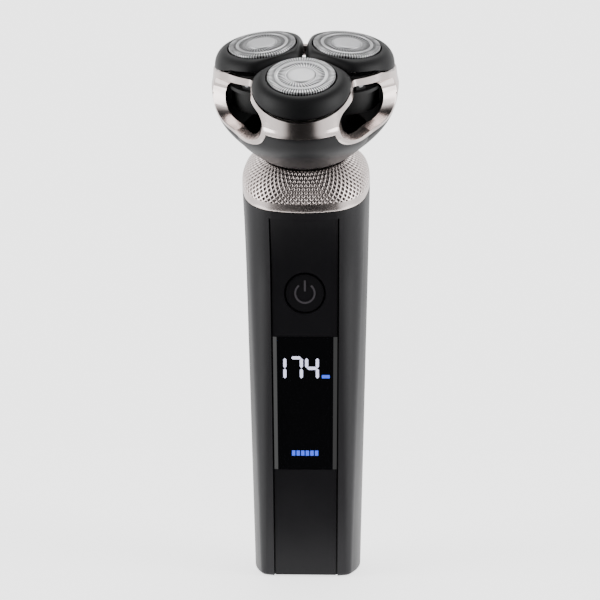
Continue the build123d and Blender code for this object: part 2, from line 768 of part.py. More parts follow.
with BuildPart() as gear_housing:
    with BuildSketch(HEAD.offset(FLOOR_LOW + FLOOR_THICK)):
        Circle(7.0)
    extrude(amount=HOUSING_LOW - FLOOR_LOW - FLOOR_THICK)
    with BuildSketch(HEAD.offset(HOUSING_LOW)):
        Circle(10.4)
        with PolarLocations(SATELLITE_OFFSET, 3, start_angle=-90):
            Circle(10.8)
    extrude(amount=DECK_LOW - HOUSING_LOW)
    with BuildSketch(HEAD.offset(HOUSING_LOW + 1.4)):
        Circle(7.6)
        with PolarLocations(SATELLITE_OFFSET, 3, start_angle=-90):
            Circle(9.7)
    extrude(amount=DECK_LOW - HOUSING_LOW, mode=Mode.SUBTRACT)
    with BuildSketch(HEAD.offset(FLOOR_LOW)):
        Circle(4.2 + RUNNING_GAP)
    extrude(amount=20, mode=Mode.SUBTRACT)
    with BuildSketch(HEAD.offset(HOUSING_LOW + 3)):
        with PolarLocations(8.9, 3, start_angle=-30):
            Circle(0.7)
    extrude(amount=DECK_LOW, mode=Mode.SUBTRACT)
gear_housing.part.label = "gear_housing"
export_step(gear_housing.part, "parts/gear_housing.step")

with BuildPart() as centre_gear:
    extrude(gear_outline(HEAD.offset(GEAR_LOW), CENTRE_TEETH), amount=GEAR_THICK)
    with BuildSketch(HEAD.offset(12.8)):
        Circle(4.2)
    extrude(amount=GEAR_LOW - 12.8)
    with BuildSketch(HEAD.offset(12.8)):
        RegularPolygon(COUPLER_RADIUS + 0.35, 6)
    extrude(amount=4.6, mode=Mode.SUBTRACT)
centre_gear.part.label = "centre_gear"
export_step(centre_gear.part, "parts/centre_gear.step")

for number, angle in enumerate(LOBE_ANGLES, 1):
    axis_point = head_point(angle, SATELLITE_OFFSET, 0)
    satellite = Plane(origin=axis_point, x_dir=head_direction(angle), z_dir=HEAD.z_dir)
    satellite_section = Plane(origin=axis_point, x_dir=satellite.x_dir, z_dir=-satellite.y_dir)
    satellite_axis = Axis(satellite.origin, satellite.z_dir)
    pod_frame = pod_plane(angle)
    spindle_top = FOIL_LEVEL - 5.2

    with BuildPart() as satellite_gear:
        extrude(gear_outline(satellite.offset(GEAR_LOW), SATELLITE_TEETH), amount=GEAR_THICK)
        with BuildSketch(satellite.offset(GEAR_LOW)):
            Circle(1.6)
        extrude(amount=GEAR_THICK, mode=Mode.SUBTRACT)
        with BuildSketch(satellite.offset(GEAR_LOW + GEAR_THICK)):
            Circle(3.4)
            Circle(2.6, mode=Mode.SUBTRACT)
        extrude(amount=4.4)
    satellite_gear.part.label = f"satellite_gear_{number}"
    export_step(satellite_gear.part, f"parts/satellite_gear_{number}.step")

    with BuildPart() as drive_spindle:
        with BuildSketch(satellite_section):
            with BuildLine():
                Polyline(
                    (0, GEAR_LOW - 0.6),
                    (1.6, GEAR_LOW - 0.6),
                    (1.6, spindle_top - 4.0),
                    (2.2, spindle_top - 4.0),
                    (2.2, spindle_top - 3.0),
                    (1.2, spindle_top - 3.0),
                    (1.2, spindle_top - 1.2),
                    (1.5, spindle_top - 0.8),
                    (0.9, spindle_top),
                    (0, spindle_top),
                    close=True,
                )
            make_face()
        revolve(axis=satellite_axis)
    drive_spindle.part.label = f"drive_spindle_{number}"
    export_step(drive_spindle.part, f"parts/drive_spindle_{number}.step")

    with BuildPart() as spindle_spring:
        with BuildSketch(satellite.offset(GEAR_LOW + GEAR_THICK)):
            Circle(2.3)
            Circle(1.7, mode=Mode.SUBTRACT)
        extrude(amount=spindle_top - 4.0 - GEAR_LOW - GEAR_THICK)
    spindle_spring.part.label = f"spindle_spring_{number}"
    export_step(spindle_spring.part, f"parts/spindle_spring_{number}.step")

    # the rocking pod: a dome above the seam, on a round core with two hinge lugs
    pod_section = Plane(origin=pod_frame.origin, x_dir=pod_frame.x_dir, z_dir=-pod_frame.y_dir)
    pod_axis = Axis(pod_frame.origin, pod_frame.z_dir)
    slit_corner = FOIL_OFFSET - POD_GAP / sqrt(3)

    with BuildPart() as seam_block:
        with BuildSketch(seam_plane(angle, SEAM_GAP)):
            Rectangle(120, 120)
        extrude(amount=40)

    with BuildPart() as slit_wedge:
        with BuildSketch(Plane(origin=HEAD.origin, x_dir=head_direction(angle), z_dir=HEAD.z_dir)):
            with Locations((FOIL_OFFSET - slit_corner, 0)):
                Polygon((0, 0), (60, -60 * sqrt(3)), (90, 0), (60, 60 * sqrt(3)), align=None)
        extrude(amount=80)

    with BuildPart() as pod:
        with BuildSketch(pod_section):
            with BuildLine():
                ThreePointArc((POD_FOOT, -7.0), (15.2, -2.9), (POD_MOUTH, -0.4))
                Polyline((POD_MOUTH, -0.4), (POD_MOUTH, -3.0), (POD_BORE, -3.0), (POD_BORE, -9.5))
                Polyline((POD_BORE, -9.5), (POD_FOOT, -9.5), (POD_FOOT, -7.0))
            make_face()
        revolve(axis=pod_axis)
        add(seam_block.part, mode=Mode.INTERSECT)
        with BuildSketch(pod_frame.offset(-8.5)):
            Circle(POD_CORE)
        extrude(amount=5.5)
        add(slit_wedge.part, mode=Mode.INTERSECT)
        with BuildSketch(pod_frame.offset(-8.5)):
            Circle(POD_BORE)
        extrude(amount=5.5, mode=Mode.SUBTRACT)
        with BuildSketch(pod_frame.offset(-HINGE_DROP - 1.1)):
            with Locations((0, 8.2), (0, -8.2)):
                Rectangle(2.6, 1.6)
        extrude(amount=2.7)
        with BuildSketch(pod_frame.offset(-8.5)):
            with Locations((0, 10.0), (0, -10.0)):
                Rectangle(3.2, 5.2)
        extrude(amount=0.8)
        with BuildSketch(pod_section):
            with Locations((0, -HINGE_DROP)):
                Circle(PIN_RADIUS)
        extrude(amount=14.0, both=True, mode=Mode.SUBTRACT)
    pod.part.label = f"pod_{number}"
    export_step(pod.part, f"parts/pod_{number}.step")

    with BuildPart() as pod_pins:
        with BuildSketch(pod_section):
            with Locations((0, -HINGE_DROP)):
                Circle(PIN_RADIUS)
        extrude(amount=11.2, both=True)
        with Locations(pod_frame):
            Box(60, 14.4, 60, mode=Mode.SUBTRACT)
    pod_pins.part.label = f"pod_pins_{number}"
    export_step(pod_pins.part, f"parts/pod_pins_{number}.step")

    with BuildPart() as retaining_ring:
        with BuildSketch(pod_frame.offset(-7.6)):
            Circle(POD_BORE)
            Circle(9.6, mode=Mode.SUBTRACT)
        extrude(amount=1.2)
    retaining_ring.part.label = f"retaining_ring_{number}"
    export_step(retaining_ring.part, f"parts/retaining_ring_{number}.step")

    with BuildPart() as foil:
        with BuildSketch(pod_section):
            with BuildLine():
                Polyline(
                    (4.5, 0),
                    (7.5, 0),
                    (7.7, -0.2),
                    (FOIL_STEP_RADIUS - 0.1, -0.2),
                    (FOIL_STEP_RADIUS + 0.1, 0),
                    (FOIL_RADIUS - 0.4, 0),
                    (FOIL_RADIUS, -0.4),
                    (FOIL_RADIUS, -3.5),
                    (11.6, -3.5),
                    (11.6, -4.4),
                    (10.25, -4.4),
                    (10.25, -0.5),
                    (CAP_RADIUS, -0.5),
                    close=True,
                )
            make_face()
        revolve(axis=pod_axis)
    foil.part.label = f"foil_{number}"
    export_step(foil.part, f"parts/foil_{number}.step")

    with BuildPart() as foil_cap:
        with BuildSketch(pod_section):
            with BuildLine():
                Polyline(
                    (0, -0.5), (CAP_RADIUS, -0.5), (CAP_RADIUS, 0.05), (CAP_RADIUS - 0.3, 0.25), (0, 0.25), close=True
                )
            make_face()
        revolve(axis=pod_axis)
    foil_cap.part.label = f"foil_cap_{number}"
    export_step(foil_cap.part, f"parts/foil_cap_{number}.step")

    with BuildPart() as cutter:
        with BuildSketch(pod_section):
            with BuildLine():
                Polyline(
                    (0, -1.5),
                    (9.6, -1.5),
                    (9.6, -2.5),
                    (4.0, -2.5),
                    (4.0, -6.4),
                    (2.4, -6.4),
                    (2.4, -3.0),
                    (0, -3.0),
                    close=True,
                )
            make_face()
        revolve(axis=pod_axis)
        with BuildSketch(pod_frame.offset(-1.5)):
            with PolarLocations(8.4, 15):
                Rectangle(1.8, 0.7, rotation=20)
        extrude(amount=0.7)
    cutter.part.label = f"cutter_{number}"
    export_step(cutter.part, f"parts/cutter_{number}.step")

# ---------------------------------------------------------------- deck that carries the pods

with BuildPart() as pod_deck:
    with BuildSketch(HEAD.offset(DECK_LOW)):
        Circle(11.0)
        with PolarLocations(14.6, 3, start_angle=-90):
            Circle(12.8)
    extrude(amount=DECK_THICK)
    for angle in LOBE_ANGLES:
        frame = pod_plane(angle)
        with BuildSketch(frame.offset(-HINGE_DROP - 4.0)):
            with Locations((0, 10.3), (0, -10.3)):
                Rectangle(3.2, 1.8)
        extrude(amount=5.2)
    with BuildSketch(HEAD.offset(DECK_LOW - 3)):
        Circle(60)
    extrude(amount=3, mode=Mode.SUBTRACT)
    for angle in LOBE_ANGLES:
        frame = pod_plane(angle)
        with BuildSketch(Plane(origin=frame.origin, x_dir=frame.x_dir, z_dir=-frame.y_dir)):
            with Locations((0, -HINGE_DROP)):
                Circle(PIN_RADIUS + RUNNING_GAP)
        extrude(amount=14, both=True, mode=Mode.SUBTRACT)
    with BuildSketch(HEAD.offset(DECK_LOW)):
        with PolarLocations(SATELLITE_OFFSET, 3, start_angle=-90):
            Circle(3.9)
        with PolarLocations(8.9, 3, start_angle=-30):
            Circle(0.9)
    extrude(amount=6, mode=Mode.SUBTRACT)
pod_deck.part.label = "pod_deck"
export_step(pod_deck.part, "parts/pod_deck.step")

with BuildPart() as deck_screws:
    with BuildSketch(HEAD.offset(HOUSING_LOW + 3.2)):
        with PolarLocations(8.9, 3, start_angle=-30):
            Circle(0.7)
    extrude(amount=DECK_LOW + DECK_THICK - HOUSING_LOW - 3.2)
    with BuildSketch(HEAD.offset(DECK_LOW + DECK_THICK)):
        with PolarLocations(8.9, 3, start_angle=-30):
            Circle(1.4)
    extrude(amount=0.8)
deck_screws.part.label = "deck_screws"
export_step(deck_screws.part, "parts/deck_screws.step")
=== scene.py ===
# %% [markdown]
# # A cordless rotary shaver
# The solid model of the shaver is loaded first and stays fixed. Everything made here is a finer skin
# or a finish for one of its pieces, and lengths are in metres.

import json
import math

import bpy
import numpy as np
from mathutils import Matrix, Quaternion, Vector


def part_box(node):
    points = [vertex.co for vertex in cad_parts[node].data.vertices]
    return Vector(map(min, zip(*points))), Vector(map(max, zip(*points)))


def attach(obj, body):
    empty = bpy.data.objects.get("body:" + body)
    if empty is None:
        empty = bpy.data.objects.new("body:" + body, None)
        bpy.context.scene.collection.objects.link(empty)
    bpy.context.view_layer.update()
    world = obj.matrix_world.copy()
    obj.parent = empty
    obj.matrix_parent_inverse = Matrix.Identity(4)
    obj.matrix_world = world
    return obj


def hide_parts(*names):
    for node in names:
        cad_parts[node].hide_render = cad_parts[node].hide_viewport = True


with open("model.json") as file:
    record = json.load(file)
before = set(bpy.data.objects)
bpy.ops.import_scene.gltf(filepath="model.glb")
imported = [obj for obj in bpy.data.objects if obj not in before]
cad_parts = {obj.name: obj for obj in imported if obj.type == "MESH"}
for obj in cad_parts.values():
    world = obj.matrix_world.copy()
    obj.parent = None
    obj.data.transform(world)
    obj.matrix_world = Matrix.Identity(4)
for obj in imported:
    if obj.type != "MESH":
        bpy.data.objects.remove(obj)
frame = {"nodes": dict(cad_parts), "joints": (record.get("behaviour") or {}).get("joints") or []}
nodes = frame["nodes"]
joints = {joint["name"]: joint for joint in frame["joints"]}
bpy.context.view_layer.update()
MM = 0.001
print("solid model:", len(nodes), "nodes")

# %% [markdown]
# The camera stands almost in front, a little to the right and a little above, and looks at the middle
# of the handle through a long lens, so the sides stay nearly upright.

# %% Camera
CAMERA_TURN = math.radians(2.631)
CAMERA_RISE = math.radians(8.0)
CAMERA_DISTANCE = 0.9
CAMERA_ROLL = math.radians(-0.137)
LENS = 163.4  # millimetres, as is the sensor
SENSOR = 36
SHIFT_ACROSS = -0.0123
SHIFT_UP = -0.0018
target = Vector((0, 0, 0.09))
back = Vector(
    (
        math.sin(CAMERA_TURN) * math.cos(CAMERA_RISE),
        -math.cos(CAMERA_TURN) * math.cos(CAMERA_RISE),
        math.sin(CAMERA_RISE),
    )
)
camera = bpy.data.objects.new("camera", bpy.data.cameras.new("camera"))
bpy.context.scene.collection.objects.link(camera)
camera.data.lens = LENS
camera.data.sensor_width = SENSOR
camera.data.shift_x = SHIFT_ACROSS
camera.data.shift_y = SHIFT_UP
camera.location = target + back * CAMERA_DISTANCE
camera.rotation_mode = "QUATERNION"
facing = (-back).to_track_quat("-Z", "Y")
camera.rotation_quaternion = facing @ Quaternion((0, 0, 1), CAMERA_ROLL)
bpy.context.scene.camera = camera
print("camera at", [round(x, 3) for x in camera.location])

# %% [markdown]
# Polished goods look best between large soft lights left and right, with a white wall behind. They
# then show two bright flanks and a dark middle. The floor is small and glows a little, so that it
# is as pale as the wall and the black front has no bright floor to mirror.

# %% Lights and floor
def area_light(name, place, aim, size, power):
    """Soft rectangular light at place, pointing at aim."""
    light = bpy.data.lights.new(name, "AREA")
    light.shape = "RECTANGLE"
    light.size = size[0]
    light.size_y = size[1]
    light.energy = power
    lamp = bpy.data.objects.new(name, light)
    bpy.context.scene.collection.objects.link(lamp)
    lamp.location = place
    lamp.rotation_mode = "QUATERNION"
    lamp.rotation_quaternion = (Vector(aim) - Vector(place)).to_track_quat("-Z", "Y")
    return lamp


SOFTBOX_AIM = (0, 0, 0.11)
SOFTBOX_SIZE = (0.5, 0.9)
SOFTBOX_POWER = 7.0
TOP_POWER = 2.5
area_light("left_softbox", (-0.85, -0.30, 0.30), SOFTBOX_AIM, SOFTBOX_SIZE, SOFTBOX_POWER)
area_light("right_softbox", (0.85, -0.30, 0.30), SOFTBOX_AIM, SOFTBOX_SIZE, SOFTBOX_POWER)
area_light("top_softbox", (0.0, 0.25, 0.95), (0, 0, 0.1), (0.4, 0.4), TOP_POWER)
floor_mesh = bpy.data.meshes.new("floor")
FLOOR_LEVEL = -0.0003
FLOOR_EDGES = [(-0.2, -0.05), (0.2, -0.05), (0.2, 0.2), (-0.2, 0.2)]
floor_mesh.from_pydata([(x, y, FLOOR_LEVEL) for x, y in FLOOR_EDGES], [], [(0, 1, 2, 3)])
floor = bpy.data.objects.new("floor", floor_mesh)
bpy.context.scene.collection.objects.link(floor)
print("lights:", len(bpy.data.lights))

# %% [markdown]
# Shader maths reads best as ordinary sums. A small class wraps the output of a node, so that
# `1 - mask * 0.5` adds the Math nodes by itself, and one method adds any other node.

# %% Writing shaders as sums
class Wire:
    """The output of a node, on which sums and products can be written."""

    def __init__(self, socket):
        self.socket = socket

    def node(self, kind, settings=None, inputs=None, output=0):
        """A node of that kind in the same material: settings first, then its inputs' values or wires."""
        tree = self.socket.id_data
        made = tree.nodes.new(kind)
        for key, value in (settings or {}).items():
            if key == "stops":
                ramp = made.color_ramp.elements
                while len(ramp) < len(value):
                    ramp.new(0.5)
                for stop, (place, colour) in zip(ramp, value):
                    stop.position = place
                    stop.color = (*colour, 1)
            else:
                setattr(made, key, value)
        for key, value in (inputs or {}).items():
            if isinstance(value, Wire):
                tree.links.new(value.socket, made.inputs[key])
            else:
                made.inputs[key].default_value = value
        return Wire(made.outputs[output])

    def maths(self, operation, first, second):
        return self.node("ShaderNodeMath", {"operation": operation}, {0: first, 1: second})

    def __add__(self, other):
        return self.maths("ADD", self, other)

    __radd__ = __add__

    def __sub__(self, other):
        return self.maths("SUBTRACT", self, other)

    def __rsub__(self, other):
        return self.maths("SUBTRACT", other, self)

    def __mul__(self, other):
        return self.maths("MULTIPLY", self, other)

    __rmul__ = __mul__

    def step(self, low, high):
        """0 below low, 1 above high, and a smooth rise between."""
        settings = {"interpolation_type": "SMOOTHSTEP"}
        return self.node("ShaderNodeMapRange", settings, {0: self, 1: low, 2: high, 3: 0.0, 4: 1.0})


def finish(name, colour, roughness, metallic=0.0, coat=0.0, coat_roughness=0.05, glow=0.0, mirror=0.5):
    """A new material, the wire of its Object coordinates, and its shader.

    Mirror says how strongly a surface that is no metal mirrors its surroundings.
    """
    made = bpy.data.materials.new(name)
    made.use_nodes = True
    shader = made.node_tree.nodes["Principled BSDF"]
    shader.inputs["Base Color"].default_value = (*colour, 1)
    shader.inputs["Roughness"].default_value = roughness
    shader.inputs["Metallic"].default_value = metallic
    shader.inputs["Specular IOR Level"].default_value = mirror
    shader.inputs["Coat Weight"].default_value = coat
    shader.inputs["Coat Roughness"].default_value = coat_roughness
    shader.inputs["Emission Color"].default_value = (*colour, 1)
    shader.inputs["Emission Strength"].default_value = glow
    place = made.node_tree.nodes.new("ShaderNodeTexCoord")
    return made, Wire(place.outputs["Object"]), shader


def feed(shader, **inputs):
    """Link wires to the shader's sockets; underscores stand for spaces."""
    for key, value in inputs.items():
        shader.id_data.links.new(value.socket, shader.inputs[key.replace("_", " ")])


def noise(place, scale, detail=3.0):
    """Soft cloud pattern, 0 to 1, with features about 1/scale metres wide."""
    return place.node("ShaderNodeTexNoise", None, {"Vector": place, "Scale": scale, "Detail": detail})


def two_tone(mask, first, second):
    """Colour that goes from first to second as mask goes from 0 to 1."""
    return mask.node(
        "ShaderNodeMix", {"data_type": "RGBA"}, {0: mask, 6: (*first, 1), 7: (*second, 1)}, output=2
    )


def bumps(height, strength, distance):
    """Normal pushed about by a height pattern."""
    settings = {"Strength": strength, "Distance": distance, "Height": height}
    return height.node("ShaderNodeBump", None, settings)


# %% [markdown]
# The surroundings are written as one sky. It is bright at the sides and behind, dark in front and
# duller overhead, and plain white where it is seen directly.

# %% Sky
SKY_SEEN = 3.2
SKY_SIDES = 1.5
SKY_WALL = 1.9
SKY_FRONT = 0.015
world = bpy.data.worlds.new("studio")
world.use_nodes = True
bpy.context.scene.world = world
sky = world.node_tree.nodes["Background"]
sky.inputs["Color"].default_value = (1, 1, 1, 1)
direction = Wire(world.node_tree.nodes.new("ShaderNodeTexCoord").outputs["Generated"])
across = direction.node("ShaderNodeSeparateXYZ", None, {0: direction})
behind = Wire(across.socket.node.outputs[1])
above = Wire(across.socket.node.outputs[2])
seen = Wire(world.node_tree.nodes.new("ShaderNodeLightPath").outputs["Is Camera Ray"])
sides = across.maths("ABSOLUTE", across, 0.0).step(0.38, 0.72) * SKY_SIDES
wall = behind.step(0.10, 0.60) * SKY_WALL * (1 - above.step(0.30, 0.85) * 0.65)
strength = seen * SKY_SEEN + (1 - seen) * (sides.maths("MAXIMUM", sides, wall) + SKY_FRONT)
world.node_tree.links.new(strength.socket, sky.inputs["Strength"])
print("sky made")

# %% [markdown]
# The handle is coated with a soft-touch lacquer: nearly black, matt, with a very fine tooth that
# blurs the lights into broad grey flanks. A fine noise drives both a small bump and the roughness.

# %% Soft-touch black
soft_touch, place, shader = finish("soft_touch_black", (0.008, 0.0075, 0.009), 0.45, mirror=0.22)
tooth = noise(place, 9000)
worn = noise(place, 60)
feed(
    shader,
    Base_Color=two_tone(worn, (0.0065, 0.006, 0.0075), (0.0095, 0.009, 0.0105)),
    Roughness=0.40 + worn * 0.08,
    Normal=bumps(tooth, 0.12, 0.00002),
)

strip_black, place, shader = finish("strip_black", (0.005, 0.005, 0.006), 0.42, mirror=0.2)
tooth = noise(place, 7000)
worn = noise(place, 80)
feed(
    shader,
    Base_Color=two_tone(worn, (0.0045, 0.0042, 0.0052), (0.0065, 0.006, 0.0072)),
    Roughness=0.38 + worn * 0.08,
    Normal=bumps(tooth, 0.10, 0.00002),
)

pod_black, place, shader = finish("pod_black", (0.006, 0.006, 0.006), 0.4, mirror=0.22)
tooth = noise(place, 6000)
worn = noise(place, 90)
feed(
    shader,
    Base_Color=two_tone(worn, (0.005, 0.005, 0.0055), (0.007, 0.007, 0.0075)),
    Roughness=0.42 + worn * 0.08,
    Normal=bumps(tooth, 0.10, 0.00002),
)
print("black finishes made")

# %% [markdown]
# The frame of the head and the collar wear a champagne metallic lacquer. Its flakes are far smaller
# than the eye can part, so it is a rough metal with a faint cloud in colour and roughness.

# %% Champagne lacquer, steels and lens
champagne, place, shader = finish("champagne_lacquer", (0.66, 0.58, 0.56), 0.3, metallic=1.0)
flakes = noise(place, 5000, 2.0)
cloud = noise(place, 120)
feed(
    shader,
    Base_Color=two_tone(flakes * 0.6 + cloud * 0.4, (0.60, 0.525, 0.505), (0.72, 0.645, 0.62)),
    Roughness=0.17 + cloud * 0.07,
    Normal=bumps(flakes, 0.05, 0.00001),
)

foil_steel, place, shader = finish("foil_steel", (0.5, 0.5, 0.52), 0.3, metallic=1.0)
dirt = noise(place, 400)
# Painted shade: the shade attribute makes the slots and the bar edges beside them near black and less
# metallic.
shade = place.node("ShaderNodeAttribute", {"attribute_name": "shade"}, output=2)
feed(
    shader,
    Base_Color=two_tone(shade, (0.60, 0.60, 0.61), (0.003, 0.003, 0.003)),
    Roughness=0.24 + dirt * 0.12,
    Metallic=1 - shade * 0.8,
)

knurl_metal, place, shader = finish("knurled_lacquer", (0.66, 0.58, 0.56), 0.3, metallic=1.0)
# Painted shade: the shade attribute darkens the lacquer in the knurl's sunk diamonds.
shade = place.node("ShaderNodeAttribute", {"attribute_name": "shade"}, output=2)
cloud = noise(place, 200)
feed(
    shader,
    Base_Color=two_tone(shade, (0.68, 0.60, 0.575), (0.13, 0.11, 0.105)),
    Roughness=0.24 + cloud * 0.06 + shade * 0.12,
)

plain_steel, place, shader = finish("plain_steel", (0.42, 0.42, 0.43), 0.35, metallic=1.0)
feed(shader, Roughness=0.28 + noise(place, 300) * 0.16)

lens_glass, place, shader = finish(
    "lens_black", (0.002, 0.002, 0.0025), 0.08, coat=1.0, coat_roughness=0.02
)
feed(shader, Roughness=0.06 + noise(place, 150) * 0.04)

deep_black, place, shader = finish("deep_black", (0.006, 0.006, 0.006), 0.55)
feed(shader, Roughness=0.5 + noise(place, 500) * 0.12)

gear_white, place, shader = finish("gear_nylon", (0.62, 0.60, 0.55), 0.45)
feed(shader, Roughness=0.4 + noise(place, 500) * 0.1)

board_green, place, shader = finish("board_green", (0.01, 0.09, 0.035), 0.35, coat=0.5)
feed(shader, Base_Color=two_tone(noise(place, 700), (0.008, 0.075, 0.03), (0.012, 0.11, 0.045)))

cell_wrap, place, shader = finish("cell_wrap", (0.02, 0.09, 0.25), 0.25)
feed(shader, Roughness=0.2 + noise(place, 300) * 0.1)

tab_nickel, place, shader = finish("tab_nickel", (0.6, 0.55, 0.45), 0.3, metallic=1.0)
feed(shader, Roughness=0.25 + noise(place, 900) * 0.15)

digit_glow, place, shader = finish("digit_glow", (0.74, 0.74, 1.0), 0.4, glow=1.0)
feed(shader, Emission_Color=two_tone(noise(place, 600), (0.70, 0.70, 1.0), (0.80, 0.80, 1.0)))
blue_glow, place, shader = finish("blue_glow", (0.045, 0.10, 0.80), 0.4, glow=1.0)
feed(shader, Emission_Color=two_tone(noise(place, 600), (0.04, 0.09, 0.75), (0.06, 0.12, 0.85)))

mark_grey, place, shader = finish("mark_grey", (0.06, 0.055, 0.062), 0.35)
feed(shader, Roughness=0.3 + noise(place, 900) * 0.1)

backdrop, place, shader = finish("pale_floor", (0.93, 0.93, 0.93), 0.6, glow=2.1)
feed(shader, Roughness=0.55 + noise(place, 20) * 0.1)
floor.data.materials.append(backdrop)
print("materials:", len(bpy.data.materials))

# %% [markdown]
# Each solid piece that keeps its own shape takes its finish here, by name.

# %% Finishes of the solid pieces
FINISHES = {
    "handle_shell": soft_touch,
    "front_panel": strip_black,
    "button_ring": strip_black,
    "power_button": strip_black,
    "display_lens": lens_glass,
    "display_module": deep_black,
    "display_digits": digit_glow,
    "base_cap": strip_black,
    "base_seal": deep_black,
    "base_screws": plain_steel,
    "charging_socket": plain_steel,
    "charge_board": board_green,
    "main_board": board_green,
    "tact_switch": plain_steel,
    "inner_chassis": deep_black,
    "battery_cell": cell_wrap,
    "battery_tabs": tab_nickel,
    "motor_can": plain_steel,
    "motor_end_cap": deep_black,
    "motor_mount": deep_black,
    "mount_screws": plain_steel,
    "knurled_ring": champagne,
    "neck_collar": deep_black,
    "neck_seal": deep_black,
    "latch_magnet": plain_steel,
    "motor_shaft": plain_steel,
    "drive_coupler": gear_white,
    "bowl_shell": strip_black,
    "trim_frame": champagne,
    "gear_housing": deep_black,
    "pod_deck": deep_black,
    "deck_screws": plain_steel,
    "centre_gear": gear_white,
}
for number in (1, 2, 3):
    FINISHES[f"satellite_gear_{number}"] = gear_white
    FINISHES[f"drive_spindle_{number}"] = gear_white
    FINISHES[f"spindle_spring_{number}"] = plain_steel
    FINISHES[f"pod_{number}"] = pod_black
    FINISHES[f"pod_pins_{number}"] = plain_steel
    FINISHES[f"retaining_ring_{number}"] = deep_black
    FINISHES[f"foil_{number}"] = plain_steel
    FINISHES[f"foil_cap_{number}"] = plain_steel
    FINISHES[f"cutter_{number}"] = plain_steel
for name, node in nodes.items():
    node.data.materials.clear()
    node.data.materials.append(FINISHES[name])
print("solid pieces finished:", len(FINISHES))

# %% [markdown]
# New pieces are grids of points worked out by formula. A ring grid closes on itself around, and can
# end in a pole at either end, where it is one point.

# %% Making a mesh from rings of points
def ring_mesh(name, rings, material, body, shade=None, first_pole=None, last_pole=None):
    """Closed-round surface through rings of points (rings, around, 3), with fans to the poles given."""
    count, around = rings.shape[:2]
    points = [rings.reshape(-1, 3)]
    corner = np.arange(count * around).reshape(count, around)
    after = np.roll(corner, -1, axis=1)
    quads = np.stack([corner[:-1], after[:-1], after[1:], corner[1:]], axis=-1).reshape(-1, 4)
    faces = quads.tolist()
    total = count * around
    if first_pole is not None:
        points.append(np.array([first_pole]))
        faces += np.stack([after[0], corner[0], np.full(around, total)], axis=-1).tolist()
        total += 1
    if last_pole is not None:
        points.append(np.array([last_pole]))
        faces += np.stack([corner[-1], after[-1], np.full(around, total)], axis=-1).tolist()
    mesh = bpy.data.meshes.new(name)
    mesh.from_pydata(np.concatenate(points), [], faces)
    if shade is not None:
        values = np.zeros(len(mesh.vertices), np.float32)
        values[: shade.size] = shade.reshape(-1)
        mesh.attributes.new("shade", "FLOAT", "POINT").data.foreach_set("value", values)
    mesh.shade_smooth()
    mesh.set_sharp_from_angle(angle=math.radians(50))
    mesh.materials.append(material)
    piece = bpy.data.objects.new(name, mesh)
    bpy.context.scene.collection.objects.link(piece)
    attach(piece, body)
    print(name, len(mesh.polygons), "faces")
    return piece


def unit(vector):
    """The same direction with length one."""
    vector = np.array(vector, float)
    return vector / np.linalg.norm(vector)


class Stand:
    """A local frame: its origin and three unit directions."""

    def __init__(self, origin, outward, upward):
        self.origin = np.array(origin, float)
        self.z = unit(upward)
        self.x = unit(np.array(outward, float) - np.dot(outward, self.z) * self.z)
        self.y = np.cross(self.z, self.x)

    def points(self, radius, angle, height):
        """Points at radius, angle and height round the stand's upward direction."""
        radius, angle, height = np.broadcast_arrays(radius, angle, height)
        flat_x = (radius * np.cos(angle))[..., None] * self.x
        flat_y = (radius * np.sin(angle))[..., None] * self.y
        return self.origin + flat_x + flat_y + height[..., None] * self.z


head = Stand(joints["motor_spin"]["pos_m"], (1, 0, 0), joints["head_release"]["axis"])
print("head axis:", head.z.round(3))

# %% [markdown]
# The collar is a smooth band under a dome that is cut by two crossing families of curved grooves.
# Seventy-two ridges lean each way, and the diamonds between them are sunk and carry painted shade.

# %% Knurled collar
TOP_HALF = 20.8 * MM
BAND_TALL = 3.0 * MM
COLLAR_TALL = 11.6 * MM
COLLAR_TOP = 14.2 * MM
NECK_RADIUS = 11.6 * MM
RIDGES = 72
KNURL_TWIST = math.radians(25)
KNURL_DEPTH = 0.38 * MM
FULL_SQUARE = 1.10  # reach over a corner against half the width: 1 is a circle


def squircle_reach(angle, half, fullness):
    """Distance from the middle to a rounded square: four wide side arcs joined by corner arcs."""
    side = 2 * half
    reach = fullness * half
    gap = side - reach
    centre = (gap**2 - (side - half) ** 2) / (2 * ((side - half) - math.sqrt(2) * gap))
    corner = reach - math.sqrt(2) * centre
    touch = math.atan2(centre, centre + side - half)
    folded = np.abs((angle + math.pi / 4) % (math.pi / 2) - math.pi / 4)
    offset = half - side
    side_reach = offset * np.cos(folded) + np.sqrt(side**2 - (offset * np.sin(folded)) ** 2)
    across = centre * (np.cos(folded) + np.sin(folded))
    off_line = centre * (np.cos(folded) - np.sin(folded))
    corner_reach = across + np.sqrt(np.maximum(corner**2 - off_line**2, 0))
    touch_angle = math.atan2(side * math.sin(touch), side * math.cos(touch) + offset)
    return np.where(folded < touch_angle, side_reach, corner_reach)


def ridge(turns):
    """1 on the crest of a ridge, 0 in the groove between two, with short slopes."""
    away = np.abs((turns + 0.5) % 1.0 - 0.5) * 2
    return np.clip((0.62 - away) / 0.3, 0, 1)


around = np.linspace(0, 2 * np.pi, RIDGES * 10, endpoint=False)
share = np.linspace(0, 1, 84)
angle_grid, share_grid = np.meshgrid(around, share)
fall = TOP_HALF - 0.1 * MM - COLLAR_TOP
half_grid = TOP_HALF - 0.1 * MM - fall * share_grid**1.35 + 0.45 * MM * np.sin(np.pi * share_grid)
dome = np.empty_like(angle_grid)
for row in range(len(share)):
    dome[row] = squircle_reach(around, half_grid[row, 0], FULL_SQUARE - 0.095 * share[row])
turns = angle_grid * RIDGES / (2 * np.pi)
lean = share_grid * KNURL_TWIST * RIDGES / (2 * np.pi)
crest = np.maximum(ridge(turns + lean), ridge(turns - lean))
edge = np.clip(share_grid / 0.02, 0, 1) * np.clip((1 - share_grid) / 0.02, 0, 1)
sunk = (1 - crest) * edge
dome_level = BAND_TALL + (COLLAR_TALL - BAND_TALL) * share_grid
dome_rings = head.points(dome - KNURL_DEPTH * sunk, angle_grid, dome_level)

